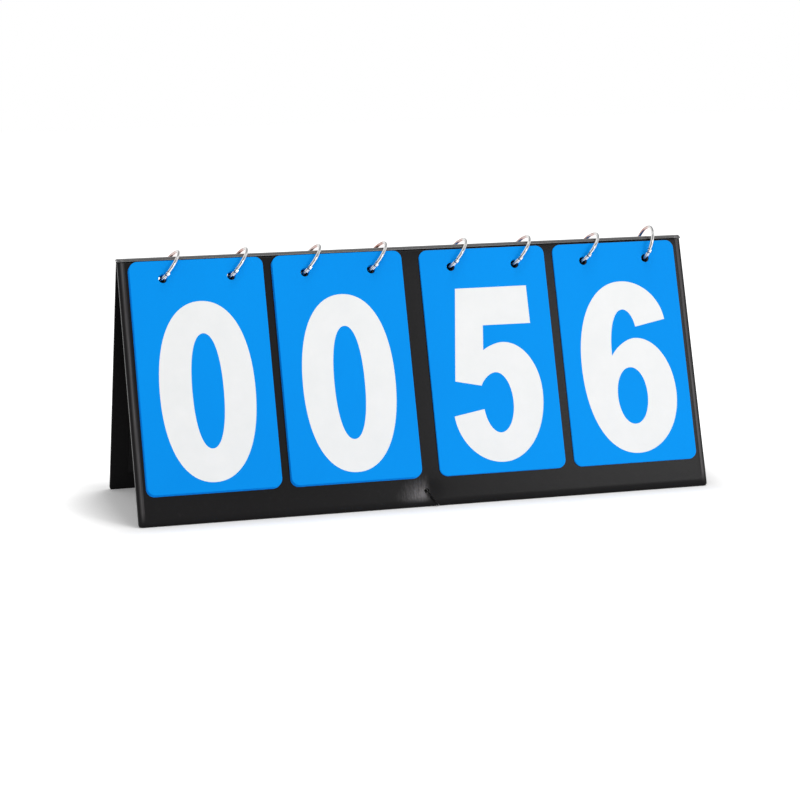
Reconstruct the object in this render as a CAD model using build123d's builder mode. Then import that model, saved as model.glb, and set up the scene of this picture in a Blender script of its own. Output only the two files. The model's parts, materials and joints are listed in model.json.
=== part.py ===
"""Tabletop flip scoreboard: two padded boards folded into an A, eight book rings over
the ridge, four columns of number cards on the rings and a cord across the foot."""

import os
from math import acos, atan2, cos, degrees, hypot, pi, radians, sin, sqrt, tan

from build123d import *

# ---- driving dimensions, in millimetres and degrees ------------------------------------
board_width = 360.0
base_depth = 110.0
half_angle = 18.8

core_thickness = 2.4
cover_thickness = 0.6
lining_thickness = 0.4
fold_gap = 0.3
fold_to_board = 0.8
board_edge_radius = 1.7
ridge_rise = 1.9
spine_end_gap = 0.1

card_height = 139.5
card_corner_radius = 5.0
card_thickness = 0.2
card_spacing = 0.02
card_stack_gap = 0.05
card_gap = 6.0
centre_gap = 12.0
side_margin = 6.0
card_hole_radius = 2.7
card_hole_pitch = 41.6
card_hole_to_edge = 10.8
card_hang = 0.35
card_follow = 0.4
card_shuffle = 0.12
rear_card_shift = 1.0

ring_radius = 11.4
wire_radius = 1.0
ring_lean = 38.0
last_ring_lean = 20.0
ring_half_span = 8.3
ring_ridge_gap = 1.75
board_hole_radius = 3.0
hinge_angle = 195.0
knuckle_radius = 1.5
knuckle_clearance = 0.25
tongue_thickness = 0.8
lug_thickness = 0.6
lug_clearance = 0.05
rivet_radius = 0.5
rivet_clearance = 0.03
clasp_radius = 1.3
clasp_length = 1.8
clasp_gap = 0.1
web_width = 1.6

cord_radius = 0.55
cord_hole_radius = 1.5
cord_hole_side = 3.3
cord_hole_up = 9.0
cord_notch_radius = 1.4
cord_notch_side = 3.0
cord_knot_radius = 1.9
cord_clearance = 0.15
cord_exit_bend = 2.0
cord_foot_bend = 1.2

cards_shown = {"left_tens": 10, "left_units": 10, "right_tens": 5, "right_units": 4}
cards_turned = {"right_tens": 5, "right_units": 6}

# ---- values that follow from them -------------------------------------------------------
FRONT = -1
REAR = 1
sin_half = sin(radians(half_angle))
cos_half = cos(radians(half_angle))
sin_lean = sin(radians(ring_lean))
cos_lean = cos(radians(ring_lean))
card_width = (board_width - 2 * side_margin - centre_gap - 2 * card_gap) / 4
board_thickness = core_thickness + cover_thickness + lining_thickness
board_out = fold_gap + board_thickness
fold_height = (base_depth / 2 - board_out / cos_half) / tan(radians(half_angle))
card_pitch = card_thickness + card_spacing
column_offsets = {
    "left_tens": -(centre_gap / 2 + card_gap + card_width * 1.5),
    "left_units": -(centre_gap + card_width) / 2,
    "right_tens": (centre_gap + card_width) / 2,
    "right_units": centre_gap / 2 + card_gap + card_width * 1.5,
}

chord_to_centre = sqrt(ring_radius**2 - ring_half_span**2)
ring_top = ridge_rise + ring_ridge_gap + wire_radius
chord_drop = (chord_to_centre + ring_radius) * cos_lean - ring_top
ring_centre_drop = chord_drop - chord_to_centre * cos_lean


def wire_crossing(out):
    """Side and downward place of the wire's centre where it is `out` from the fold plane."""
    across = ring_radius * cos_half
    along = ring_radius * sin_half * cos_lean
    reach = out + ring_centre_drop * sin_half
    turn = atan2(across, along) + acos(reach / hypot(across, along))
    up = chord_to_centre + ring_radius * cos(turn)
    depth = ring_radius * sin(turn)
    height = up * cos_lean - chord_drop
    return up * sin_lean, depth * sin_half - height * cos_half


def card_out(layer):
    """How far the inner face of a card lies from the fold plane."""
    return board_out + card_stack_gap + layer * card_pitch


stack_middle = (board_out + card_out(max(cards_shown.values()))) / 2
board_middle = fold_gap + board_thickness / 2
stack_side = wire_crossing(stack_middle)[0]
board_side, board_hole_down = wire_crossing(board_middle)
ring_offsets = [
    offset + hand * card_hole_pitch / 2 for offset in column_offsets.values() for hand in (-1, 1)
]
chord_offsets = [offset - stack_side for offset in ring_offsets]
board_hole_offsets = [offset + board_side for offset in chord_offsets]
ring_leans = [ring_lean] * (len(chord_offsets) - 1) + [last_ring_lean]


def panel_plane(side, out):
    """Plane of a panel, `out` beyond the fold plane: X to the right seen from outside, Y up."""
    fold = Plane(
        origin=(0, 0, fold_height),
        x_dir=(-side, 0, 0),
        z_dir=(0, side * cos_half, sin_half),
    )
    return fold.offset(out)


def down_at_floor(out):
    """Distance down the panel from the fold to the floor, `out` beyond the fold plane."""
    return fold_height / cos_half + out * tan(radians(half_angle))


inner_bottom = down_at_floor(fold_gap)
pocket_bottom = inner_bottom - 2 * cover_thickness
pocket_top = fold_to_board + cover_thickness
cord_hole_down = inner_bottom - cord_hole_up


def panel_rectangle(width, top, bottom):
    """Rectangle across the panel between two distances down from the fold."""
    with Locations((0, -(top + bottom) / 2)):
        Rectangle(width, bottom - top)


def punch_holes(side):
    """Cut the ring holes and the cord hole through the part being built."""
    with BuildSketch(panel_plane(side, 0)) as holes:
        with Locations(*[(-side * offset, -board_hole_down) for offset in board_hole_offsets]):
            Circle(board_hole_radius)
        with Locations((-cord_hole_side, -cord_hole_down)):
            Circle(cord_hole_radius)
    extrude(holes.sketch, amount=2 * board_out, mode=Mode.SUBTRACT)


def save(part, name):
    part.label = name
    export_step(part, f"parts/{name}.step")


def make_cover(side, name):
    """Padded skin: outer face, side walls and foot, open on the inside for the board."""
    with BuildPart() as cover:
        with BuildSketch(panel_plane(side, fold_gap)):
            panel_rectangle(board_width, fold_to_board, down_at_floor(2 * board_out))
        extrude(amount=board_thickness)
        split(bisect_by=Plane.XY, keep=Keep.TOP)
        outward = Axis((0, 0, fold_height), (0, side * cos_half, sin_half))
        outer_edges = cover.faces().sort_by(outward)[-1].edges().sort_by(Axis.Z)[:-1]
        fillet(outer_edges, radius=board_edge_radius)
        with BuildSketch(panel_plane(side, fold_gap)):
            panel_rectangle(board_width - 2 * cover_thickness, pocket_top, pocket_bottom)
        extrude(amount=board_thickness - cover_thickness, mode=Mode.SUBTRACT)
        punch_holes(side)
        with BuildSketch(Plane.XZ) as notch:
            with Locations((-side * cord_notch_side, 0)):
                Circle(cord_notch_radius)
        extrude(notch.sketch, amount=-side * base_depth, mode=Mode.SUBTRACT)
    save(cover.part, name)


def make_board(side, name):
    """Stiff board inside the cover."""
    with BuildPart() as board:
        with BuildSketch(panel_plane(side, fold_gap + lining_thickness)):
            panel_rectangle(board_width - 2 * cover_thickness, pocket_top, pocket_bottom)
        extrude(amount=core_thickness)
        punch_holes(side)
    save(board.part, name)


def make_lining(side, name):
    """Thin sheet over the inside of the board."""
    with BuildPart() as lining:
        with BuildSketch(panel_plane(side, fold_gap)):
            panel_rectangle(board_width - 2 * cover_thickness, pocket_top, pocket_bottom)
        extrude(amount=lining_thickness)
        punch_holes(side)
    save(lining.part, name)


def make_cards(side, column, layers, name):
    """Cards of one column, as separate sheets on the rings."""
    with BuildPart() as cards:
        for layer in layers:
            out = card_out(layer)
            wire_side, wire_down = wire_crossing(out + card_thickness / 2)
            hole_down = wire_down + card_hang
            shuffle = card_shuffle * sin(2.4 * layer + column_offsets[column])
            shift = card_follow * (wire_side - stack_side) + shuffle
            if side == REAR:
                shift -= rear_card_shift
            middle = -side * (column_offsets[column] + shift)
            with BuildSketch(panel_plane(side, out)):
                with Locations((middle, card_hole_to_edge - hole_down - card_height / 2)):
                    RectangleRounded(card_width, card_height, card_corner_radius)
                with Locations((middle, -hole_down)):
                    with GridLocations(card_hole_pitch, 1, 2, 1):
                        Circle(card_hole_radius, mode=Mode.SUBTRACT)
            extrude(amount=card_thickness)
    save(cards.part, name)


def make_spine():
    """Leather strip bent over the tops of both boards."""
    foot_y = board_out * cos_half + fold_to_board * sin_half
    foot_z = fold_height + board_out * sin_half - fold_to_board * cos_half + spine_end_gap
    top_z = fold_height + ridge_rise
    inner_y = foot_y - cover_thickness * cos_half
    with BuildPart() as spine:
        with BuildSketch(Plane.YZ.offset(-board_width / 2)):
            with BuildLine():
                ThreePointArc((-foot_y, foot_z), (0, top_z), (foot_y, foot_z))
                ThreePointArc((-inner_y, foot_z), (0, top_z - cover_thickness), (inner_y, foot_z))
                Line((-foot_y, foot_z), (-inner_y, foot_z))
                Line((foot_y, foot_z), (inner_y, foot_z))
            make_face()
        extrude(amount=board_width)
    save(spine.part, "spine")


def ring_plane(chord_offset, lean):
    """Plane of a leaning ring: X along the chord between its two holes, Y up in the ring."""
    return Plane(
        origin=(chord_offset, 0, fold_height - chord_drop),
        x_dir=(0, 1, 0),
        z_dir=(cos(radians(lean)), 0, -sin(radians(lean))),
    )


def on_ring(angle):
    """Point of the wire's centre line in the ring's own plane."""
    turn = radians(angle)
    return ring_radius * cos(turn), chord_to_centre + ring_radius * sin(turn)


def sweep_wire(plane, radius, start_angle, arc_size):
    """Round bar bent along part of the ring."""
    with BuildLine(plane) as path:
        CenterArc((0, chord_to_centre), ring_radius, start_angle, arc_size)
    with BuildSketch(Plane(origin=path.line @ 0, z_dir=path.line % 0)) as section:
        Circle(radius)
    sweep(section.sketch, path=path.line)


def hinge_disc(plane, radius, low, high, mode=Mode.ADD):
    """Round slice about the hinge of a ring, between two heights from the ring's plane."""
    with BuildSketch(plane.offset(low)) as disc:
        with Locations(on_ring(hinge_angle)):
            Circle(radius)
    extrude(disc.sketch, amount=high - low, mode=mode)


def lug_web(plane, low):
    """Flat web that joins a lug to the end of the fixed half."""
    reach_turn = degrees(2 * slot_radius / ring_radius)
    with BuildSketch(plane.offset(low)) as web:
        with BuildLine() as spine_line:
            Line(on_ring(hinge_angle), on_ring(hinge_angle + reach_turn))
        trace(spine_line.line, line_width=web_width)
    extrude(web.sketch, amount=lug_thickness)


tongue_half = tongue_thickness / 2
lug_inside = tongue_half + lug_clearance
lug_outside = lug_inside + lug_thickness
slot_radius = knuckle_radius + knuckle_clearance
far_side = lug_outside + wire_radius


def make_ring(number, chord_offset, lean):
    """One book ring: fixed half, swinging half and the rivet that joins them."""
    plane = ring_plane(chord_offset, lean)
    clasp_turn = degrees(clasp_length / ring_radius)
    gap_turn = degrees(clasp_gap / ring_radius)
    with BuildPart() as frame:
        sweep_wire(plane, wire_radius, hinge_angle, 180)
        sweep_wire(plane, clasp_radius, hinge_angle + 180 - clasp_turn, clasp_turn)
        hinge_disc(plane, slot_radius, -far_side, far_side, Mode.SUBTRACT)
        hinge_disc(plane, knuckle_radius, lug_inside, lug_outside)
        hinge_disc(plane, knuckle_radius, -lug_outside, -lug_inside)
        lug_web(plane, lug_inside)
        lug_web(plane, -lug_outside)
        hinge_disc(plane, rivet_radius + rivet_clearance, -far_side, far_side, Mode.SUBTRACT)
    save(frame.part, f"ring_{number}_frame")
    with BuildPart() as gate:
        sweep_wire(plane, wire_radius, hinge_angle - 180 + gap_turn, 180 - gap_turn)
        hinge_disc(plane, slot_radius, tongue_half, far_side, Mode.SUBTRACT)
        hinge_disc(plane, slot_radius, -far_side, -tongue_half, Mode.SUBTRACT)
        hinge_disc(plane, knuckle_radius, -tongue_half, tongue_half)
        hinge_disc(plane, rivet_radius + rivet_clearance, -far_side, far_side, Mode.SUBTRACT)
    save(gate.part, f"ring_{number}_gate")
    with BuildPart() as rivet:
        hinge_disc(plane, rivet_radius, -lug_outside - rivet_clearance, lug_outside + rivet_clearance)
    save(rivet.part, f"ring_{number}_rivet")


def make_cord():
    """Cord from a knot inside the front board, out round both feet, to one inside the rear."""
    face = board_out + cord_radius + cord_clearance
    knot = fold_gap - cord_knot_radius - cord_clearance
    foot_down = down_at_floor(face) - (cord_radius + cord_clearance / 2) / cos_half
    points = []
    for right, down, out in (
        (-cord_hole_side, cord_hole_down, knot),
        (-cord_hole_side, cord_hole_down, face),
        (cord_notch_side, foot_down, face),
    ):
        points.append(panel_plane(FRONT, 0).from_local_coords((right, -down, out)))
    for point in reversed(points[:]):
        points.append(Vector(-point.X, -point.Y, point.Z))
    bends = [cord_exit_bend, cord_foot_bend, cord_foot_bend, cord_exit_bend]
    with BuildPart() as cord:
        with BuildLine() as path:
            FilletPolyline(*points, radius=bends)
        with BuildSketch(Plane(origin=path.line @ 0, z_dir=path.line % 0)):
            Circle(cord_radius)
        sweep()
        with Locations(points[0], points[-1]):
            Sphere(cord_knot_radius)
    length = path.wires()[0].length
    swept = pi * cord_radius**2 * length
    print(f"cord {length:.1f} mm, bends {bends}, section x length {swept:.1f} mm3")
    save(cord.part, "spreader_cord")


# ---- the pieces -------------------------------------------------------------------------
os.makedirs("parts", exist_ok=True)

for panel_side, panel_name in ((FRONT, "front"), (REAR, "rear")):
    make_cover(panel_side, f"{panel_name}_cover")
    make_board(panel_side, f"{panel_name}_board")
    make_lining(panel_side, f"{panel_name}_lining")

make_spine()
make_cord()

for column_name, count in cards_shown.items():
    make_cards(FRONT, column_name, range(count - 1), f"{column_name}_pack")
    make_cards(FRONT, column_name, [count - 1], f"{column_name}_card")

for column_name, count in cards_turned.items():
    make_cards(REAR, column_name, range(count - 1), f"{column_name}_turned_pack")
    make_cards(REAR, column_name, [count - 1], f"{column_name}_turned_card")

for ring_number, ring_chord in enumerate(chord_offsets, start=1):
    make_ring(ring_number, ring_chord, ring_leans[ring_number - 1])
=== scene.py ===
"""Looks of the tabletop flip scoreboard: leather panels, spine, number cards, rings and cord."""

import json
from math import acos, asin, atan2, copysign, cos, exp, hypot, pi, radians, sin, sqrt, tan

import bmesh
import bpy
from mathutils import Matrix, Vector


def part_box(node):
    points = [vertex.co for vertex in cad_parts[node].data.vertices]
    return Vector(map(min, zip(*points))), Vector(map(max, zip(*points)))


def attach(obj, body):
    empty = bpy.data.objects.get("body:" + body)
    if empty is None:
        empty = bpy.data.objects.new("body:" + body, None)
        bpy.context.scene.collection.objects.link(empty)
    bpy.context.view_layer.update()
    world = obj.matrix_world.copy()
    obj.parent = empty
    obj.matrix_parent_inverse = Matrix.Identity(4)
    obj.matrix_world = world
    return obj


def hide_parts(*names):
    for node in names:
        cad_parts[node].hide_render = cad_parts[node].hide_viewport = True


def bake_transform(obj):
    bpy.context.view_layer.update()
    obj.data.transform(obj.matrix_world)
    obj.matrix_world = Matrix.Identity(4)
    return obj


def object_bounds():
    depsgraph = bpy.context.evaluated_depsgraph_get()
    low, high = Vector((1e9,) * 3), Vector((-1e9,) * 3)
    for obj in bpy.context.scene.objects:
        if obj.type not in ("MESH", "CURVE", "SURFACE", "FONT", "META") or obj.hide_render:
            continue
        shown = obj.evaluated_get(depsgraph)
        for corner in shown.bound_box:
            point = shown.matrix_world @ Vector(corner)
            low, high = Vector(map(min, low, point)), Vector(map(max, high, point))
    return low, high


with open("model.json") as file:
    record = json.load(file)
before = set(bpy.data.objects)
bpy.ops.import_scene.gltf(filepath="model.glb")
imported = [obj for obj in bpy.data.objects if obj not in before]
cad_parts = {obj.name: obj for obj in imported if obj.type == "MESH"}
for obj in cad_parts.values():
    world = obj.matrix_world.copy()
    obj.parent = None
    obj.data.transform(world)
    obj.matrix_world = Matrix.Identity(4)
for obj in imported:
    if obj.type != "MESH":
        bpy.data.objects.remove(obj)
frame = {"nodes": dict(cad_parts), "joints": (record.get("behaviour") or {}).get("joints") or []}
cad_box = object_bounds()

MM = 0.001
FRONT, REAR = -1, 1
SIDES = {"front": FRONT, "rear": REAR}
TURNED_COLUMNS = ("right_tens", "right_units")

# ---- sizes of the stand, in metres -------------------------------------------------------
HALF_ANGLE = radians(18.8)
FOLD_GAP = 0.3 * MM
FOLD_TO_BOARD = 0.8 * MM
LINING_THICKNESS = 0.4 * MM
CORE_THICKNESS = 2.4 * MM
SKIN_THICKNESS = 0.6 * MM
BOARD_OUT = FOLD_GAP + LINING_THICKNESS + CORE_THICKNESS + SKIN_THICKNESS
RIDGE_RISE = 1.9 * MM
EDGE_ROLL = 4.6 * MM
ROLL_STEPS = 9
ROLL_POWER = 2.1
TURN_IN = 11 * MM
FOOT_CORNER = 2.2 * MM
PUCKER_WIDTH = 5.5 * MM
PUCKER_HEIGHT = 4.0 * MM
PUCKER_DEPTH = 0.75 * MM
# Places and sizes of the pale painted highlight on the leather: a patch beside the cord's hole, and
# a line down the side edges.
HOLE_HIGHLIGHT_SIDE = 6.8 * MM
HOLE_HIGHLIGHT_DOWN = 1.4 * MM
HOLE_HIGHLIGHT_WIDTH = 17 * MM
HOLE_HIGHLIGHT_HEIGHT = 13 * MM
EDGE_LINE_IN = 2.7 * MM
EDGE_LINE_WIDTH = 1.4 * MM
SPINE_ROWS = 90
SPINE_TURNS = 20
FINE_STEP = 0.8 * MM
FINE_STEPS_ASIDE = 14
FINE_STEPS_UP = 10
WIDE_STEP = 12 * MM
TALL_STEP = 10 * MM
LEAST_STEP = 0.02 * MM
LINING_SLACK = 0.3 * MM
CUTTER_REACH = (-2 * MM, 8 * MM)
NOTCH_REACH = (20 * MM, 80 * MM)

CORD_RADIUS = 0.55 * MM
CORD_STEP = 0.25 * MM
STRANDS = 3
TWIST = {"Radius": CORD_RADIUS, "Twist": 2600.0, "Groove": 0.1}
CORD_KNOT_RADIUS = 1.9 * MM
CORD_CLEARANCE = 0.15 * MM
CORD_HOLE_X = -3.3 * MM
CORD_HOLE_UP = 9.0 * MM
CORD_HOLE_RADIUS = 1.5 * MM
CORD_NOTCH_X = 3.0 * MM
CORD_NOTCH_RADIUS = 1.4 * MM
CORD_EDGE_RUN = 6.6 * MM
KNOT_STEPS = 72

CARD_HEIGHT = 139.5 * MM
INK_THICKNESS = 0.012 * MM

RING_RADIUS = 11.4 * MM
WIRE_RADIUS = 1.0 * MM
RING_LEAN = radians(38)
RING_HALF_SPAN = 8.3 * MM
RING_RIDGE_GAP = 1.75 * MM
RING_HOLE_RADIUS = 3.0 * MM
# Place and width of the painted dark reflection along each ring's wire.
DARK_REFLECTION_TURN = radians(-27)
DARK_REFLECTION_WIDTH = radians(38)

# ---- room, lamps and camera: metres, watts and degrees -----------------------------------
WORLD_LIGHT = 0.62
FLOOR_SIZE = 3.0
FLOOR_GLOW_NEAR = 0.1
FLOOR_GLOW_FAR = 0.6
FLOOR_GLOW_START = 3 * MM
FLOOR_GLOW_REACH = 40 * MM
LAMPS = {
    "key": {"place": (0.78, -1.29, 0.72), "aim": (0.1, 0, 0.08), "size": 0.4, "power": 4.6},
    "overhead": {"place": (0.3, -0.1, 1.4), "aim": (0, 0, 0.08), "size": 0.6, "power": 5},
    "left_edge": {"place": (-0.55, -1.36, 0.62), "aim": (-0.15, 0, 0.08), "size": 0.2, "power": 1.1},
}
CAMERA_PLACE = (-0.403, -1.364, 0.332)
CAMERA_AZIMUTH = radians(16.27)
CAMERA_ELEVATION = radians(10.99)
CAMERA_ROLL = radians(-0.38)
CAMERA_FOCUS = 2325  # in pixels of the image
IMAGE_WIDTH = 800
SENSOR_WIDTH = 36

joints = {joint["name"]: joint for joint in frame["joints"]}
fold_height = joints["fold"]["pos_m"][2]
board_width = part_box("front_cover")[1].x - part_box("front_cover")[0].x
ring_chord_x = [joints[f"ring_{number}_swing"]["pos_m"][0] for number in range(1, 9)]


# ---- node helpers ------------------------------------------------------------------------
class Value:
    """A socket whose arithmetic adds Math nodes to its tree."""

    def __init__(self, graph, socket):
        self.graph = graph
        self.socket = socket

    def math(self, operation, *others):
        inputs = dict(enumerate((self, *others)))
        return self.graph.node("ShaderNodeMath", {"operation": operation}, inputs)[0]

    def __add__(self, other):
        return self.math("ADD", other)

    def __sub__(self, other):
        return self.math("SUBTRACT", other)

    def __rsub__(self, other):
        return self.graph.constant(other).math("SUBTRACT", self)

    def __mul__(self, other):
        return self.math("MULTIPLY", other)

    def __truediv__(self, other):
        return self.math("DIVIDE", other)

    def __pow__(self, other):
        return self.math("POWER", other)

    __radd__ = __add__
    __rmul__ = __mul__

    def clamped(self):
        return self.math("MAXIMUM", 0).math("MINIMUM", 1)


class Outputs:
    """Output sockets of a node, by number or name."""

    def __init__(self, graph, node):
        self.graph = graph
        self.node = node

    def __getitem__(self, key):
        return Value(self.graph, self.node.outputs[key])


class Graph:
    """Adds nodes to a tree: settings first, then the values or links of the sockets."""

    def __init__(self, tree):
        self.tree = tree

    def node(self, kind, settings=None, inputs=None):
        node = self.tree.nodes.new(kind)
        for name, setting in (settings or {}).items():
            setattr(node, name, setting)
        for key, value in (inputs or {}).items():
            if isinstance(value, Value):
                self.tree.links.new(value.socket, node.inputs[key])
            else:
                node.inputs[key].default_value = value
        return Outputs(self, node)

    def constant(self, number):
        node = self.tree.nodes.new("ShaderNodeMath")
        node.inputs[0].default_value = number
        node.inputs[1].default_value = 0
        return Value(self, node.outputs[0])

    def ramp(self, factor, *stops):
        """Colour ramp; each stop is a place and a grey level."""
        made = self.node("ShaderNodeValToRGB", None, {"Fac": factor})
        elements = made.node.color_ramp.elements
        for element, (place, level) in zip(elements, stops):
            element.position = place
            element.color = (level, level, level, 1)
        return made["Color"]

    def mix_colour(self, factor, first, second):
        made = self.node("ShaderNodeMix", {"data_type": "RGBA"}, {0: factor, 6: first, 7: second})
        return made[2]

    def axes(self, place):
        return self.node("ShaderNodeSeparateXYZ", None, {0: place})

    def capture(self, geometry, name, value):
        """Keep a value on a curve's points under a name."""
        kept = self.node("GeometryNodeCaptureAttribute", None, {"Geometry": geometry})
        kept.node.capture_items.new("FLOAT", name)
        self.tree.links.new(value.socket, kept.node.inputs[name])
        return kept


class Finish(Graph):
    """A material with one Principled shader."""

    def __init__(self, name, **constants):
        self.material = bpy.data.materials.new(name)
        self.material.use_nodes = True
        super().__init__(self.material.node_tree)
        self.shader = self.tree.nodes["Principled BSDF"]
        for key, value in constants.items():
            self.shader.inputs[key.replace("_", " ")].default_value = value
        self.place = self.node("ShaderNodeTexCoord")["Object"]

    def feed(self, socket, value):
        self.tree.links.new(value.socket, self.shader.inputs[socket])

    def noise(self, scale, detail=4, roughness=0.5, place=None, distortion=0):
        settings = {
            "Vector": place or self.place,
            "Scale": scale,
            "Detail": detail,
            "Roughness": roughness,
            "Distortion": distortion,
        }
        return self.node("ShaderNodeTexNoise", None, settings)["Fac"]

    def cells(self, scale, feature="F1", place=None):
        inputs = {"Vector": place or self.place, "Scale": scale}
        return self.node("ShaderNodeTexVoronoi", {"feature": feature}, inputs)["Distance"]

    def stretched(self, scale):
        """Object place with each axis scaled by itself."""
        inputs = {"Vector": self.place, "Scale": scale}
        return self.node("ShaderNodeMapping", None, inputs)["Vector"]

    def bump(self, height, strength, distance):
        inputs = {"Height": height, "Strength": strength, "Distance": distance}
        self.feed("Normal", self.node("ShaderNodeBump", None, inputs)["Normal"])


def linear(red, green, blue):
    """Linear colour from screen levels of 0 to 255."""
    levels = [level / 255 for level in (red, green, blue)]
    return tuple(
        level / 12.92 if level <= 0.04045 else ((level + 0.055) / 1.055) ** 2.4 for level in levels
    ) + (1.0,)


# ---- finishes ----------------------------------------------------------------------------
def painted_highlight_places(axes, outer, ragged):
    """Masks of painted highlight on the leather: a line down its side edges, and a patch by the
    cord's hole.
    """
    off_line = (axes["X"].math("ABSOLUTE") - (board_width / 2 - EDGE_LINE_IN)).math("ABSOLUTE")
    ends = ((axes["Z"] - EDGE_LINE_IN) / (6 * MM)).clamped()
    edge = (1 - off_line / EDGE_LINE_WIDTH).clamped() * outer * ends
    above = axes["Z"] - (CORD_HOLE_UP - HOLE_HIGHLIGHT_DOWN)
    left = axes["X"] * axes["Y"].math("SIGN")
    hole_highlight_x = (left - HOLE_HIGHLIGHT_SIDE + above * 0.3) / HOLE_HIGHLIGHT_WIDTH
    hole_highlight_z = above / HOLE_HIGHLIGHT_HEIGHT
    reach = (0.8 + ragged * 0.5 - (hole_highlight_x * hole_highlight_x + hole_highlight_z * hole_highlight_z) ** 0.5).clamped()
    hole_highlight = reach * reach * outer * ((left - 1 * MM) / (4 * MM)).clamped()
    return edge, hole_highlight * ((axes["Z"] - 2.5 * MM) / (3.5 * MM)).clamped()


def make_leather(name, gloss):
    """Black synthetic leather: fine grain and soft wrinkles, with a pale painted highlight down its
    side edges and beside the cord's hole.
    """
    skin = Finish(name, Specular_IOR_Level=gloss)
    pebble = skin.cells(1500, "SMOOTH_F1")
    fine = skin.noise(5200, 3, 0.6)
    crease = skin.noise(420, 5, 0.62, distortion=0.6)
    cloud = skin.noise(14, 3, 0.5)
    axes = skin.axes(skin.place)
    out = axes["Y"].math("ABSOLUTE") * cos(HALF_ANGLE) + (axes["Z"] - fold_height) * sin(HALF_ANGLE)
    outer = ((out - BOARD_OUT / 2) / (1 * MM)).clamped()
    streak = skin.noise(1, 4, 0.65, skin.stretched((620, 12, 12)))
    ragged = skin.noise(1, 4, 0.7, skin.stretched((1000, 260, 260)))
    patchy = ((ragged - 0.32) * 2.6).clamped()
    edge, hole_highlight = painted_highlight_places(axes, outer, ragged)
    pale = skin.ramp(streak, (0.35, 0.35), (0.62, 1))
    # Painted highlight: a pale streaky line down the side edges and a pale patch beside the cord's
    # hole.
    painted_highlight = (edge * pale * 0.6).math("MAXIMUM", hole_highlight * (patchy * 0.5 + 0.6))
    tone = skin.mix_colour(cloud, linear(12, 11, 12), linear(20, 19, 20))
    worn = skin.ramp(crease, (0.56, 0), (0.8, 1))
    tone = skin.mix_colour(worn * 0.25, tone, linear(44, 42, 43))
    # linear(120, 117, 118) is the colour of the painted highlight.
    skin.feed("Base Color", skin.mix_colour(painted_highlight, tone, linear(120, 117, 118)))
    skin.feed("Roughness", crease * 0.1 + pebble * 0.06 + 0.23)
    grain = pebble * 0.6 + fine * 0.25 + crease * 0.5
    inputs = {"Height": grain, "Strength": 0.3, "Distance": 0.1 * MM}
    grained = skin.node("ShaderNodeBump", None, inputs)["Normal"]
    # Bump streaks at the places of the painted highlight.
    ripple_at_highlights = streak * edge + patchy * hole_highlight * 0.6
    inputs = {"Height": ripple_at_highlights, "Strength": 1.0, "Distance": 0.5 * MM, "Normal": grained}
    skin.feed("Normal", skin.node("ShaderNodeBump", None, inputs)["Normal"])
    return skin.material


def make_lining():
    """Black book cloth: fine crossed threads over a flat sheet."""
    cloth = Finish("black_book_cloth", Specular_IOR_Level=0.25)
    along = cloth.noise(1, 2, 0.5, cloth.stretched((3800, 500, 500)))
    across = cloth.noise(1, 2, 0.5, cloth.stretched((300, 2600, 2600)))
    weave = along * across
    cloth.feed("Base Color", cloth.mix_colour(weave, linear(8, 8, 9), linear(24, 23, 25)))
    cloth.feed("Roughness", weave * 0.3 + 0.68)
    cloth.bump(weave, 0.5, 0.08 * MM)
    return cloth.material


def make_core():
    """Grey pressed board with flecks, seen only in the punched holes; its grey is darkened near to
    black as painted shade for the holes.
    """
    core = Finish("grey_board", Specular_IOR_Level=0.2)
    fleck = core.noise(2400, 5, 0.7)
    layer = core.noise(1, 3, 0.6, core.stretched((400, 5200, 5200)))
    # Near-black board colour: painted shade in the punched holes, where only the board is seen.
    shade = core.mix_colour(fleck * layer, linear(20, 19, 18), linear(48, 45, 41))
    core.feed("Base Color", shade)
    core.feed("Roughness", fleck * 0.2 + 0.75)
    core.bump(layer, 0.5, 0.1 * MM)
    return core.material


def make_card_plastic():
    """Blue plastic sheet: even colour, faint mottling and fine wear lines."""
    sheet = Finish("blue_card_plastic", Specular_IOR_Level=0.04)
    cloud = sheet.noise(9, 3, 0.5)
    speck = sheet.noise(1500, 2, 0.5)
    scratch = sheet.noise(1, 2, 0.7, sheet.stretched((2600, 60, 60)))
    blue = sheet.mix_colour(cloud, linear(0, 141, 236), linear(2, 156, 250))
    sheet.feed("Base Color", sheet.mix_colour(speck * 0.08, blue, linear(30, 165, 248)))
    sheet.feed("Roughness", cloud * 0.1 + scratch * 0.12 + 0.4)
    sheet.bump(speck * 0.5 + scratch * 0.4, 0.12, 0.03 * MM)
    return sheet.material


def make_ink():
    """White printed ink: opaque, a little thicker in places."""
    ink = Finish("white_number_ink", Specular_IOR_Level=0.06)
    body = ink.noise(60, 4, 0.6)
    grain = ink.noise(2600, 3, 0.6)
    ink.feed("Base Color", ink.mix_colour(body, linear(238, 240, 240), linear(249, 249, 249)))
    ink.feed("Roughness", grain * 0.15 + 0.42)
    ink.bump(grain, 0.1, 0.02 * MM)
    return ink.material


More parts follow.
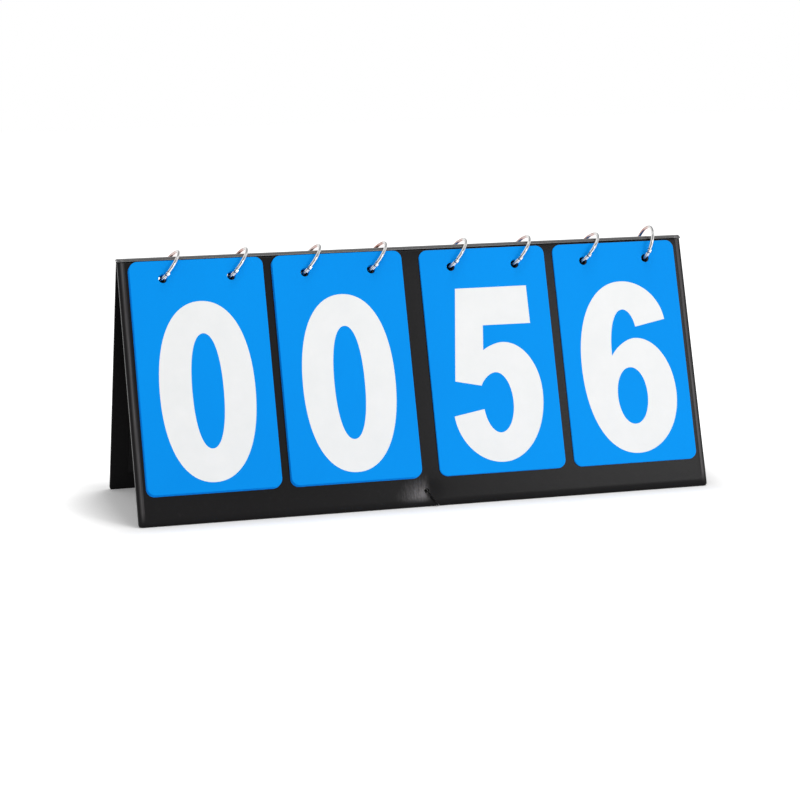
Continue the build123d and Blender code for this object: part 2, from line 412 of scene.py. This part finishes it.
def make_nickel(swing):
    """Bright nickel of one ring, found by its swing joint, with a painted dark reflection drawn
    along the wire and a mottled warm brown tint on the half behind the fold."""
    plate = Finish(swing["name"].replace("swing", "nickel"), Metallic=1.0)
    chord = Vector(swing["pos_m"])
    lean = radians(swing["range_deg"][1])
    axes = plate.axes(plate.place)
    aside = axes["X"] - chord.x
    above = axes["Z"] - chord.z
    up = aside * sin(lean) + above * cos(lean) - chord_to_centre
    off_plane = aside * cos(lean) - above * sin(lean)
    off_circle = (axes["Y"] * axes["Y"] + up * up) ** 0.5 - RING_RADIUS
    off_line = off_plane.math("ARCTAN2", off_circle) - DARK_REFLECTION_TURN
    haze = plate.noise(700, 4, 0.6)
    mark = plate.noise(1, 2, 0.5, plate.stretched((900, 900, 4200)))
    # Mask of the painted dark reflection along the wire; it also makes the wire a little rougher
    # there.
    line = (1 - off_line.math("ABSOLUTE") / DARK_REFLECTION_WIDTH).clamped() * (haze * 0.6 + 0.6)
    # Mottled warm brown tint on the half of the ring behind the fold.
    warm_mottle = plate.ramp(plate.noise(170, 3, 0.5), (0.35, 0.35), (0.65, 0.8))
    warm = ((axes["Y"] + 1 * MM) / (4 * MM)).clamped() * warm_mottle
    silver = plate.mix_colour(haze, linear(208, 207, 205), linear(244, 243, 242))
    # Painted dark reflection: a bluish dark band along the wire, mixed into the silver.
    silver = plate.mix_colour(line.clamped(), silver, linear(34, 42, 48))
    plate.feed("Base Color", plate.mix_colour(warm, silver, linear(158, 84, 58)))
    plate.feed("Roughness", haze * 0.12 + mark * 0.08 + line * 0.12 + 0.06)
    plate.bump(mark, 0.08, 0.02 * MM)
    return plate.material


def make_cord_yarn():
    """Black waxed yarn: slanting strands and loose fibre, with painted shade darkening the grooves
    between the strands.
    """
    yarn = Finish("black_cord_yarn", Specular_IOR_Level=0.1, Sheen_Weight=0.1)
    groove = yarn.node("ShaderNodeAttribute", {"attribute_name": "groove"})["Fac"]
    strand = groove * 0.5 + 0.5
    fibre = yarn.noise(9000, 2, 0.6)
    # Painted shade: darker where the groove between strands is deepest, lighter on the strands'
    # crests.
    yarn.feed("Base Color", yarn.mix_colour(strand * fibre, linear(4, 4, 5), linear(24, 23, 24)))
    yarn.feed("Roughness", fibre * 0.2 + 0.62)
    yarn.bump(strand + fibre * 0.3, 0.8, 0.12 * MM)
    return yarn.material


# ---- places on a panel -------------------------------------------------------------------
def panel_matrix(side):
    """Frame of a panel at the fold: X to the right seen from outside, Y up, Z outward."""
    right = Vector((-side, 0, 0))
    outward = Vector((0, side * cos(HALF_ANGLE), sin(HALF_ANGLE)))
    up = outward.cross(right)
    matrix = Matrix((right, up, outward)).transposed().to_4x4()
    matrix.translation = (0, 0, fold_height)
    return matrix


def floor_down(out):
    """Distance down a panel from the fold to the floor, `out` beyond the fold plane."""
    return fold_height / cos(HALF_ANGLE) + out * tan(HALF_ANGLE)


CORD_HOLE_DOWN = floor_down(FOLD_GAP) - CORD_HOLE_UP


# A ring's wire leans, so that it crosses the boards to one side of its own chord.
chord_to_centre = sqrt(RING_RADIUS**2 - RING_HALF_SPAN**2)
ring_top = RIDGE_RISE + RING_RIDGE_GAP + WIRE_RADIUS
chord_drop = (chord_to_centre + RING_RADIUS) * cos(RING_LEAN) - ring_top


def wire_crossing(out):
    """Side and downward place of a ring's wire where it is `out` from the fold plane."""
    across = RING_RADIUS * cos(HALF_ANGLE)
    along = RING_RADIUS * sin(HALF_ANGLE) * cos(RING_LEAN)
    centre_drop = chord_drop - chord_to_centre * cos(RING_LEAN)
    reach = out + centre_drop * sin(HALF_ANGLE)
    turn = atan2(across, along) + acos(reach / hypot(across, along))
    up = chord_to_centre + RING_RADIUS * cos(turn)
    depth = RING_RADIUS * sin(turn)
    height = up * cos(RING_LEAN) - chord_drop
    return up * sin(RING_LEAN), depth * sin(HALF_ANGLE) - height * cos(HALF_ANGLE)


ring_hole_side, RING_HOLE_DOWN = wire_crossing((FOLD_GAP + BOARD_OUT) / 2)
RING_HOLES_X = [x + ring_hole_side for x in ring_chord_x]


def card_face(node, side, outer=True):
    """Middle, top and level of the cards' outermost or innermost face, in the panel's frame."""
    to_panel = panel_matrix(side).inverted()
    points = [to_panel @ vertex.co for vertex in frame["nodes"][node].data.vertices]
    level = max(point.z for point in points) if outer else min(point.z for point in points)
    face = [point for point in points if abs(point.z - level) < 0.02 * MM]
    middle = (min(point.x for point in face) + max(point.x for point in face)) / 2
    return middle, max(point.y for point in face), level


# ---- mesh helpers ------------------------------------------------------------------------
def plain_object(name, mesh):
    made = bpy.data.objects.new(name, mesh)
    bpy.context.scene.collection.objects.link(made)
    return made


def baked(source, name, material):
    """Plain mesh of an object's evaluated shape; the source object is removed."""
    evaluated = source.evaluated_get(bpy.context.evaluated_depsgraph_get())
    mesh = bpy.data.meshes.new_from_object(evaluated)
    bpy.data.objects.remove(source)
    made = plain_object(name, mesh)
    mesh.name = name
    if material:
        mesh.materials.clear()
        mesh.materials.append(material)
    return made


def cut_away(piece, cutters):
    """Subtract closed meshes from a piece."""
    for cutter in cutters:
        modifier = piece.modifiers.new("cut", "BOOLEAN")
        modifier.operation = "DIFFERENCE"
        modifier.solver = "EXACT"
        modifier.object = cutter
    name = piece.name
    material = piece.data.materials[0]
    piece.name = name + "_uncut"
    made = baked(piece, name, material)
    for cutter in cutters:
        bpy.data.objects.remove(cutter)
    return made


def box_mesh(name, low, high, matrix):
    """Closed box between two corners of a local frame."""
    mesh = bpy.data.meshes.new(name)
    builder = bmesh.new()
    bmesh.ops.create_cube(builder, size=1)
    size = Vector(high) - Vector(low)
    middle = (Vector(high) + Vector(low)) / 2
    placed = matrix @ Matrix.Translation(middle) @ Matrix.Diagonal((*size, 1))
    bmesh.ops.transform(builder, matrix=placed, verts=builder.verts)
    bmesh.ops.recalc_face_normals(builder, faces=builder.faces)
    builder.to_mesh(mesh)
    builder.free()
    return plain_object(name, mesh)


def rod_mesh(name, radius, start, end, sides=40):
    """Closed round rod between two points."""
    mesh = bpy.data.meshes.new(name)
    builder = bmesh.new()
    axis = Vector(end) - Vector(start)
    bmesh.ops.create_cone(
        builder,
        cap_ends=True,
        segments=sides,
        radius1=radius,
        radius2=radius,
        depth=axis.length,
    )
    turn = axis.to_track_quat("Z", "Y").to_matrix().to_4x4()
    turn.translation = (Vector(start) + Vector(end)) / 2
    bmesh.ops.transform(builder, matrix=turn, verts=builder.verts)
    builder.to_mesh(mesh)
    builder.free()
    return plain_object(name, mesh)


def smooth_by_angle(piece, degrees_limit=35):
    """Smooth faces, with edges sharper than the limit kept crisp."""
    piece.data.polygons.foreach_set("use_smooth", [True] * len(piece.data.polygons))
    piece.data.set_sharp_from_angle(angle=radians(degrees_limit))
    piece.data.update()


def grown(tree, name, material, source, sizes):
    """Plain mesh that a geometry tree makes from a source object."""
    modifier = source.modifiers.new("grow", "NODES")
    modifier.node_group = tree
    given = {**sizes, "Material": material}
    for item in tree.interface.items_tree:
        if item.in_out == "INPUT" and item.name in given:
            modifier[item.identifier] = given[item.name]
    return baked(source, name, material)


def new_tree(name, sizes):
    """Geometry tree with named size inputs, and its graph with the input node's sockets."""
    tree = bpy.data.node_groups.new(name, "GeometryNodeTree")
    tree.interface.new_socket("Geometry", in_out="INPUT", socket_type="NodeSocketGeometry")
    for key, value in sizes.items():
        made = tree.interface.new_socket(key, in_out="INPUT", socket_type="NodeSocketFloat")
        made.default_value = value
    tree.interface.new_socket("Material", in_out="INPUT", socket_type="NodeSocketMaterial")
    tree.interface.new_socket("Geometry", in_out="OUTPUT", socket_type="NodeSocketGeometry")
    graph = Graph(tree)
    return tree, graph, graph.node("NodeGroupInput")


def close_tree(graph, given, geometry):
    """End a tree: realized, smooth and with its material."""
    real = graph.node("GeometryNodeRealizeInstances", None, {0: geometry})
    smooth = graph.node("GeometryNodeSetShadeSmooth", None, {0: real[0]})
    inputs = {"Geometry": smooth[0], "Material": given["Material"]}
    coated = graph.node("GeometryNodeSetMaterial", None, inputs)
    graph.node("NodeGroupOutput", None, {0: coated[0]})


def twisted_tree():
    """Geometry tree of a cord: three strands twisted round a line."""
    tree, graph, given = new_tree("twisted_cord", TWIST)
    line = graph.node("GeometryNodeMeshToCurve", None, {0: given["Geometry"]})
    inputs = {"Curve": line[0], "Length": CORD_STEP}
    even = graph.node("GeometryNodeResampleCurve", {"mode": "LENGTH"}, inputs)
    inputs = {"Resolution": 24, "Radius": given["Radius"]}
    circle = graph.node("GeometryNodeCurvePrimitiveCircle", None, inputs)
    along = graph.node("GeometryNodeSplineParameter")["Length"]
    round_share = graph.node("GeometryNodeSplineParameter")["Factor"]
    path = graph.capture(even[0], "along", along)
    profile = graph.capture(circle[0], "round", round_share)
    inputs = {"Curve": path["Geometry"], "Profile Curve": profile["Geometry"], "Fill Caps": True}
    tube = graph.node("GeometryNodeCurveToMesh", None, inputs)
    turn = profile["round"] * (STRANDS * 2 * pi) + path["along"] * given["Twist"]
    groove = turn.math("SINE")
    normal = graph.node("GeometryNodeInputNormal")[0]
    reach = (groove - 1) * given["Radius"] * given["Groove"]
    offset = graph.node("ShaderNodeVectorMath", {"operation": "SCALE"}, {0: normal, "Scale": reach})
    inputs = {"Geometry": tube[0], "Offset": offset[0]}
    shaped = graph.node("GeometryNodeSetPosition", None, inputs)
    inputs = {"Geometry": shaped[0], "Name": "groove", "Value": groove}
    named = graph.node("GeometryNodeStoreNamedAttribute", {"domain": "POINT"}, inputs)
    close_tree(graph, given, named[0])
    return tree


def loop_object(name, points):
    """Mesh of edges through points and back to the first."""
    mesh = bpy.data.meshes.new(name)
    edges = [(index, (index + 1) % len(points)) for index in range(len(points))]
    mesh.from_pydata([tuple(point) for point in points], edges, [])
    return plain_object(name, mesh)


# ---- panels ------------------------------------------------------------------------------
def edge_steps(start, end, first_roll, last_roll, spacing, fine):
    """Places from start to end: close together over the rolls at both ends, wider between."""
    steps = []
    for turn in range(ROLL_STEPS):
        share = 1 - cos(pi / 2 * turn / ROLL_STEPS)
        steps.append(start + first_roll * share)
        steps.append(end - last_roll * share)
    flat_start = start + first_roll
    flat_end = end - last_roll
    count = round((flat_end - flat_start) / spacing)
    steps += [flat_start + (flat_end - flat_start) * step / count for step in range(count + 1)]
    steps += [place for place in fine if flat_start < place < flat_end]
    steps.sort()
    kept = steps[:1]
    for place in steps[1:]:
        if place - kept[-1] > LEAST_STEP:
            kept.append(place)
    return kept


def rounded_foot(x, y, width, bottom, corner):
    """Place on a panel, moved where a square foot corner becomes a round one."""
    beyond_x = abs(x) - (width / 2 - corner)
    beyond_y = corner - bottom - y
    if beyond_x <= 0 or beyond_y <= 0:
        return x, y
    inward = 1 - max(beyond_x, beyond_y) / hypot(beyond_x, beyond_y)
    return x - copysign(beyond_x * inward, x), y + beyond_y * inward


def padded_slab(name, material, width, top, low, high, wall, roll, top_roll, corner, foot_clear=0):
    """Closed slab in a panel's frame: low walls, then rolls up to its flat outer face."""
    bottom = floor_down(low + wall) - foot_clear
    aside = range(-FINE_STEPS_ASIDE, FINE_STEPS_ASIDE + 1)
    upward = range(-FINE_STEPS_UP, FINE_STEPS_UP + 1)
    fine_x = [CORD_HOLE_X + step * FINE_STEP for step in aside]
    fine_y = [-CORD_HOLE_DOWN + step * FINE_STEP for step in upward]
    across = edge_steps(-width / 2, width / 2, roll, roll, WIDE_STEP, fine_x)
    along = edge_steps(-bottom, -top, roll, top_roll, TALL_STEP, fine_y)
    builder = bmesh.new()
    rise = high - low - wall
    grid = []
    for y in along:
        row = []
        for x in across:
            shares = [
                1 - (width / 2 - abs(x)) / roll,
                1 - (y + bottom) / roll,
                1 - (-top - y) / top_roll,
            ]
            share = min(1, max(0, *shares))
            level = low + wall + rise * (1 - share**ROLL_POWER) ** (1 / ROLL_POWER)
            off_x = (x - CORD_HOLE_X) / PUCKER_WIDTH
            off_y = (y + CORD_HOLE_DOWN) / PUCKER_HEIGHT
            level -= PUCKER_DEPTH * exp(-0.5 * (off_x**2 + off_y**2))
            place = rounded_foot(x, y, width, bottom, corner)
            row.append(builder.verts.new((*place, level)))
        grid.append(row)
    for lower, upper in zip(grid, grid[1:]):
        for index in range(len(across) - 1):
            corners = (lower[index], lower[index + 1], upper[index + 1], upper[index])
            builder.faces.new(corners)
    rim = grid[0] + [row[-1] for row in grid[1:-1]] + grid[-1][::-1]
    rim += [row[0] for row in grid[-2:0:-1]]
    foot = -floor_down(low) + foot_clear
    under = [builder.verts.new((vert.co.x, max(vert.co.y, foot), low)) for vert in rim]
    for index, vert in enumerate(rim):
        after = (index + 1) % len(rim)
        builder.faces.new((rim[after], vert, under[index], under[after]))
    builder.faces.new(under[::-1])
    bmesh.ops.recalc_face_normals(builder, faces=builder.faces)
    mesh = bpy.data.meshes.new(name)
    builder.to_mesh(mesh)
    builder.free()
    mesh.materials.append(material)
    return plain_object(name, mesh)


def hole_cutters(side):
    """Rods through the ring holes and the cord hole, and one along the cord's foot notch."""
    holes = [(-side * offset, -RING_HOLE_DOWN, RING_HOLE_RADIUS) for offset in RING_HOLES_X]
    holes.append((CORD_HOLE_X, -CORD_HOLE_DOWN, CORD_HOLE_RADIUS))
    rods = []
    for x, y, radius in holes:
        low, high = (Vector((x, y, out)) for out in CUTTER_REACH)
        rods.append(rod_mesh("cutter", radius, low, high))
    to_panel = panel_matrix(side).inverted()
    near, far = (to_panel @ Vector((-side * CORD_NOTCH_X, side * out, 0)) for out in NOTCH_REACH)
    rods.append(rod_mesh("cutter", CORD_NOTCH_RADIUS, near, far))
    return rods


def finish_panel_piece(piece, side, body, node):
    """Move a piece from its panel's frame to the stand and hand it to its body."""
    piece.data.transform(panel_matrix(side))
    piece.data.update()
    smooth_by_angle(piece)
    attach(piece, body)
    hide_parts(node)
    return piece


def make_panel(body, side, leather, board, cloth):
    """Cover, stiff board and lining of one panel."""
    skin_sizes = {
        "width": board_width,
        "top": FOLD_TO_BOARD,
        "low": FOLD_GAP,
        "high": BOARD_OUT,
        "wall": 1.4 * MM,
        "roll": EDGE_ROLL,
        "top_roll": 1.2 * MM,
        "corner": FOOT_CORNER,
    }
    core_sizes = {
        "width": board_width - 2 * SKIN_THICKNESS,
        "top": FOLD_TO_BOARD + SKIN_THICKNESS,
        "low": FOLD_GAP + LINING_THICKNESS,
        "high": BOARD_OUT - SKIN_THICKNESS,
        "wall": 0.8 * MM,
        "roll": EDGE_ROLL,
        "top_roll": 1.2 * MM,
        "corner": FOOT_CORNER - SKIN_THICKNESS,
        "foot_clear": 2 * SKIN_THICKNESS,
    }
    cover = padded_slab(f"{body}_leather_cover", leather, **skin_sizes)
    hollow = padded_slab("hollow", leather, **core_sizes)
    window_low = (
        -board_width / 2 + TURN_IN,
        -floor_down(FOLD_GAP) + TURN_IN,
        FOLD_GAP - 1 * MM,
    )
    window_high = (board_width / 2 - TURN_IN, -FOLD_TO_BOARD - 1.5 * MM, FOLD_GAP + 0.8 * MM)
    window = box_mesh("window", window_low, window_high, Matrix.Identity(4))
    cover = cut_away(cover, [hollow, window, *hole_cutters(side)])
    finish_panel_piece(cover, side, body, f"{body}_cover")
    core_sizes["width"] -= 0.02 * MM
    core = padded_slab(f"{body}_stiff_board", board, **core_sizes)
    core = cut_away(core, hole_cutters(side))
    finish_panel_piece(core, side, body, f"{body}_board")
    sheet_low = Vector(window_low) + Vector((LINING_SLACK, LINING_SLACK, 0))
    sheet_high = Vector(window_high) - Vector((LINING_SLACK, LINING_SLACK / 3, 0))
    sheet_low.z = FOLD_GAP + 0.1 * MM
    sheet_high.z = FOLD_GAP + LINING_THICKNESS - 0.01 * MM
    lining = box_mesh(f"{body}_cloth_lining", sheet_low, sheet_high, Matrix.Identity(4))
    lining.data.materials.append(cloth)
    lining = cut_away(lining, hole_cutters(side))
    finish_panel_piece(lining, side, body, f"{body}_lining")


def make_spine(leather):
    """Leather strip over the tops of both panels."""
    foot_y = BOARD_OUT * cos(HALF_ANGLE) + FOLD_TO_BOARD * sin(HALF_ANGLE)
    low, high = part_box("spine")
    rise = high.z - low.z
    arc = (foot_y**2 + rise**2) / (2 * rise)
    centre = Vector((0, high.z - arc))
    reach = asin(foot_y / arc)
    builder = bmesh.new()
    rows = []
    for step in range(SPINE_ROWS + 1):
        x = low.x + (high.x - low.x) * step / SPINE_ROWS
        ring = []
        for radius, order in ((arc, 1), (arc - SKIN_THICKNESS, -1)):
            for turn in range(SPINE_TURNS + 1):
                angle = order * reach * (2 * turn / SPINE_TURNS - 1)
                y = centre.x + radius * sin(angle)
                z = centre.y + radius * cos(angle)
                ring.append(builder.verts.new((x, y, z)))
        rows.append(ring)
    for near, far in zip(rows, rows[1:]):
        for index in range(len(near)):
            after = (index + 1) % len(near)
            builder.faces.new((near[index], near[after], far[after], far[index]))
    builder.faces.new(rows[0])
    builder.faces.new(rows[-1])
    bmesh.ops.recalc_face_normals(builder, faces=builder.faces)
    mesh = bpy.data.meshes.new("leather_spine")
    builder.to_mesh(mesh)
    builder.free()
    mesh.materials.append(leather)
    spine = plain_object("leather_spine", mesh)
    smooth_by_angle(spine, 50)
    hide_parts("spine")
    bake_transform(spine)


# ---- numbers -----------------------------------------------------------------------------
def oval(left, right, top, bottom, fullness=0.62):
    """Closed outline through four extremes."""
    x, y = (left + right) / 2, (top + bottom) / 2
    return [
        (x, top),
        (right, top, right, y, fullness),
        (right, bottom, x, bottom, fullness),
        (left, bottom, left, y, fullness),
        (left, top, x, top, fullness),
    ]


# Outlines in millimetres from the middle of a card, clockwise. A pair is a straight run to
# that point; five values are a bend round a corner (first pair) to a point (second pair),
# with its fullness last.
DIGITS = {
    0: [oval(-28.5, 29.25, 44.4, -64.35), oval(-9.0, 10.0, 24.9, -44.35)],
    1: [
        [
            (2.0, 45.0),
            (15.5, 45.0),
            (15.5, -62.5),
            (-4.5, -62.5),
            (-4.5, 13.0),
            (-12.0, 6.5, -23.0, 3.0, 0.5),
            (-23.0, 22.5),
            (-3.0, 30.0, 2.0, 45.0, 0.6),
        ]
    ],
    4: [
        [
            (4.0, 45.0),
            (19.5, 45.0),
            (19.5, -21.5),
            (30.0, -21.5),
            (30.0, -40.5),
            (19.5, -40.5),
            (19.5, -62.5),
            (0.5, -62.5),
            (0.5, -40.5),
            (-30.5, -40.5),
            (-30.5, -22.5),
        ],
        [(0.5, -21.5), (0.5, 14.5), (-15.5, -21.5)],
    ],
    5: [
        [
            (-19.5, 45.0),
            (26.6, 45.0),
            (26.8, 21.3),
            (-4.0, 21.4),
            (-5.4, 5.8),
            (0.6, 10.3, 7.25, 10.3, 0.55),
            (30.4, 10.3, 30.4, -22.5, 0.56),
            (30.4, -63.7, 1.0, -63.7, 0.56),
            (-25.2, -63.7, -27.9, -34.0, 0.56),
            (-8.4, -30.6),
            (-7.0, -45.6, 1.0, -45.6, 0.56),
            (10.8, -45.6, 10.8, -26.9, 0.56),
            (10.8, -8.2, 1.0, -8.2, 0.56),
            (-5.2, -8.2, -8.7, -16.0, 0.55),
            (-25.25, -12.5),
        ]
    ],
    6: [
        [
            (2.1, 44.7),
            (26.4, 44.7, 29.0, 19.4, 0.56),
            (9.0, 15.5),
            (7.6, 26.8, 1.5, 26.8, 0.56),
            (-8.4, 26.8, -8.5, -2.3, 0.6),
            (-2.0, 8.3, 7.75, 8.3, 0.55),
            (31.8, 8.3, 31.8, -27.5, 0.56),
            (31.8, -64.0, 2.75, -64.0, 0.56),
            (-29.25, -64.0, -29.25, -8.0, 0.6),
            (-29.25, 44.7, 2.1, 44.7, 0.6),
        ],
        oval(-7.4, 12.4, -10.0, -45.7, 0.57),
    ],
    7: [
        [
            (-28.0, 44.5),
            (28.5, 44.5),
            (28.5, 27.5),
            (5.5, 0.0, 5.0, -62.5, 0.62),
            (-14.5, -62.5),
            (-13.5, -8.0, 6.5, 22.5, 0.6),
            (-28.0, 22.5),
        ]
    ],
}


def end_of(step):
    """Point at which a step of an outline ends."""
    return Vector((*step[-3:-1], 0)) if len(step) == 5 else Vector((*step, 0))


def add_outline(curve, outline):
    """Add one closed outline to a flat curve."""
    closes_itself = end_of(outline[-1]) == end_of(outline[0])
    steps = outline[1:] if closes_itself else [*outline[1:], outline[0]]
    corners = outline[:-1] if closes_itself else outline
    ends = [end_of(step) for step in corners]
    spline = curve.splines.new("BEZIER")
    spline.bezier_points.add(len(ends) - 1)
    spline.use_cyclic_u = True
    spline.resolution_u = 24
    for point, end in zip(spline.bezier_points, ends):
        point.co = end
        point.handle_left_type = point.handle_right_type = "FREE"
        point.handle_left = point.handle_right = end
    for index, step in enumerate(steps):
        after = (index + 1) % len(ends)
        first, last = spline.bezier_points[index], spline.bezier_points[after]
        if len(step) == 5:
            corner = Vector((step[0], step[1], 0))
            first.handle_right = ends[index].lerp(corner, step[4])
            last.handle_left = ends[after].lerp(corner, step[4])
        else:
            first.handle_right = ends[index].lerp(ends[after], 1 / 3)
            last.handle_left = ends[after].lerp(ends[index], 1 / 3)


def print_number(digit, name, node, side, body, ink, inward=False):
    """Number of printed ink on the outer or inner face of a card."""
    middle, top, level = card_face(node, side, not inward)
    curve = bpy.data.curves.new(name + "_outline", "CURVE")
    curve.dimensions = "2D"
    curve.fill_mode = "BOTH"
    curve.extrude = INK_THICKNESS / 2 / MM
    for outline in DIGITS[digit]:
        add_outline(curve, outline)
    number = baked(plain_object(name + "_outline", curve), name, ink)
    turn = Matrix.Rotation(pi, 4, "Y") if inward else Matrix.Identity(4)
    out = level + (-0.5 if inward else 0.5) * INK_THICKNESS
    place = Matrix.Translation((middle, top - CARD_HEIGHT / 2, out))
    number.data.transform(panel_matrix(side) @ place @ turn @ Matrix.Scale(MM, 4))
    number.data.update()
    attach(number, body)


def print_numbers(ink):
    """The number that each top card shows, and the next one under it."""
    shown = {"left_tens": 0, "left_units": 0, "right_tens": 5, "right_units": 6}
    for column, digit in shown.items():
        print_number(digit, f"{column}_number", f"{column}_card", FRONT, f"{column}_card", ink)
        after = f"{column}_next_number"
        print_number(digit + 1, after, f"{column}_pack", FRONT, "front", ink)
    for column in TURNED_COLUMNS:
        node = f"{column}_turned_card"
        name = f"{column}_turned_number"
        print_number(shown[column] - 1, name, node, REAR, node, ink, inward=True)


# ---- cord --------------------------------------------------------------------------------
def make_cord(yarn):
    """Cord from a knot inside the front panel, round both feet, to one inside the rear."""
    face = BOARD_OUT + CORD_RADIUS + CORD_CLEARANCE
    knot = FOLD_GAP - CORD_KNOT_RADIUS - CORD_CLEARANCE
    foot_down = floor_down(face) - (CORD_RADIUS + CORD_CLEARANCE / 2) / cos(HALF_ANGLE)
    front = panel_matrix(FRONT)
    half = [
        front @ Vector((CORD_HOLE_X, -CORD_HOLE_DOWN, knot)),
        front @ Vector((CORD_HOLE_X, -CORD_HOLE_DOWN, face)),
        front @ Vector((CORD_NOTCH_X, -foot_down, face)),
    ]
    foot = half[-1]
    half.insert(2, foot.lerp(half[1], CORD_EDGE_RUN / (half[1] - foot).length))
    half.append(foot + Vector((0, CORD_EDGE_RUN, 0)))
    route = half + [Vector((-point.x, -point.y, point.z)) for point in reversed(half)]
    curve = bpy.data.curves.new("cord_route", "CURVE")
    curve.dimensions = "3D"
    spline = curve.splines.new("NURBS")
    spline.points.add(len(route) - 1)
    for point, place in zip(spline.points, route):
        point.co = (*place, 1)
    spline.order_u = 3
    spline.use_endpoint_u = True
    spline.resolution_u = 24
    line = baked(plain_object("cord_route", curve), "cord_line", None)
    tree = twisted_tree()
    cord = grown(tree, "foot_cord", yarn, line, TWIST)
    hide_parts("spreader_cord")
    knots = [make_knot(f"{body}_cord_knot", body, side, tree, yarn) for body, side in SIDES.items()]
    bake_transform(cord)


def make_knot(name, body, side, tree, yarn):
    """Overhand knot that stops the cord on the inside of a panel."""
    size = (CORD_KNOT_RADIUS - CORD_RADIUS) / 3
    middle = Vector((CORD_HOLE_X, -CORD_HOLE_DOWN, FOLD_GAP - CORD_KNOT_RADIUS - CORD_CLEARANCE))
    place = panel_matrix(side) @ Matrix.Translation(middle)
    points = []
    for step in range(KNOT_STEPS):
        turn = 2 * pi * step / KNOT_STEPS
        x = sin(turn) + 2 * sin(2 * turn)
        y = cos(turn) - 2 * cos(2 * turn)
        points.append(place @ (Vector((x, y, -1.4 * sin(3 * turn))) * size))
    knot = grown(tree, name, yarn, loop_object(name + "_line", points), TWIST)
    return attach(knot, body)


# ---- rings -------------------------------------------------------------------------------
def finish_rings():
    """Bright plate on the rings' halves and rivets."""
    for number in range(1, 9):
        nickel = make_nickel(joints[f"ring_{number}_swing"])
        for part in ("frame", "gate", "rivet"):
            node = frame["nodes"][f"ring_{number}_{part}"]
            node.data.materials.clear()
            node.data.materials.append(nickel)


def finish_cards(sheet):
    """Blue plastic on every card."""
    for name, node in frame["nodes"].items():
        if name.endswith(("_pack", "_card")):
            for slot in node.material_slots:
                slot.material = sheet


# ---- room, light and camera --------------------------------------------------------------
def seen_rays(graph):
    """1 on the rays that look at the room straight, in a mirror or through glass."""
    path = graph.node("ShaderNodeLightPath")
    seen = path["Is Camera Ray"].math("MAXIMUM", path["Is Glossy Ray"])
    return seen.math("MAXIMUM", path["Is Transmission Ray"])


def make_floor():
    """White floor whose painted glow rises away from the stand, so that the stand's shadow is kept
    close by and washed out farther off.
    """
    mesh = bpy.data.meshes.new("floor")
    turns = ((-1, -1), (1, -1), (1, 1), (-1, 1))
    corners = [(x * FLOOR_SIZE, y * FLOOR_SIZE, 0) for x, y in turns]
    mesh.from_pydata(corners, [], [(0, 1, 2, 3)])
    paint = Finish("white_floor", Specular_IOR_Level=0.0, Roughness=0.9)
    paint.shader.inputs["Base Color"].default_value = (0.93, 0.93, 0.93, 1)
    paint.shader.inputs["Emission Strength"].default_value = 1
    axes = paint.axes(paint.place)
    beside = (axes["X"].math("ABSOLUTE") - cad_box[1].x).math("MAXIMUM", 0)
    before = (axes["Y"].math("ABSOLUTE") - cad_box[1].y).math("MAXIMUM", 0)
    away = (beside * beside + before * before) ** 0.5
    share = ((away - FLOOR_GLOW_START) / FLOOR_GLOW_REACH).clamped()
    glow = share * (FLOOR_GLOW_FAR - FLOOR_GLOW_NEAR) + FLOOR_GLOW_NEAR
    paint.feed("Emission Color", seen_rays(paint) * glow)
    mesh.materials.append(paint.material)
    floor = plain_object("floor", mesh)


def light_world():
    """Soft even light from all round, plain white where it is looked at or mirrored."""
    world = bpy.data.worlds.new("soft_white")
    bpy.context.scene.world = world
    world.use_nodes = True
    graph = Graph(world.node_tree)
    world.node_tree.nodes.clear()
    strength = seen_rays(graph) * (1 - WORLD_LIGHT) + WORLD_LIGHT
    inputs = {"Color": (1, 1, 1, 1), "Strength": strength}
    sky = graph.node("ShaderNodeBackground", None, inputs)
    graph.node("ShaderNodeOutputWorld", None, {"Surface": sky[0]})


def area_light(name, place, aim, size, power):
    """Square soft light at a place, turned to what it lights."""
    data = bpy.data.lights.new(name, "AREA")
    data.shape = "SQUARE"
    data.size = size
    data.energy = power
    lamp = bpy.data.objects.new(name, data)
    lamp.location = place
    lamp.rotation_euler = (Vector(aim) - Vector(place)).to_track_quat("-Z", "Y").to_euler()
    bpy.context.scene.collection.objects.link(lamp)


def set_camera():
    """Camera a little to the left of the stand and above it."""
    data = bpy.data.cameras.new("camera")
    data.sensor_width = SENSOR_WIDTH
    data.lens = SENSOR_WIDTH * CAMERA_FOCUS / IMAGE_WIDTH
    data.clip_start = 0.1
    camera = bpy.data.objects.new("camera", data)
    ahead = Vector((sin(CAMERA_AZIMUTH), cos(CAMERA_AZIMUTH), 0))
    right = Vector((ahead.y, -ahead.x, 0))
    look = ahead * cos(CAMERA_ELEVATION) - Vector((0, 0, sin(CAMERA_ELEVATION)))
    level = Matrix((right, right.cross(look), -look)).transposed()
    turned = level @ Matrix.Rotation(CAMERA_ROLL, 3, "Z")
    camera.matrix_world = Matrix.Translation(CAMERA_PLACE) @ turned.to_4x4()
    bpy.context.scene.collection.objects.link(camera)
    bpy.context.scene.camera = camera


# ---- the stand ---------------------------------------------------------------------------
set_camera()
make_cord(make_cord_yarn())

leather = make_leather("black_synthetic_leather", 0.12)
board_grey = make_core()
book_cloth = make_lining()
for body_name, panel_side in SIDES.items():
    make_panel(body_name, panel_side, leather, board_grey, book_cloth)
make_spine(make_leather("glossy_ridge_leather", 0.75))

finish_cards(make_card_plastic())
print_numbers(make_ink())
finish_rings()

make_floor()
light_world()
for lamp_name, lamp in LAMPS.items():
    area_light(lamp_name, **lamp)
bpy.context.scene.view_settings.view_transform = "Standard"
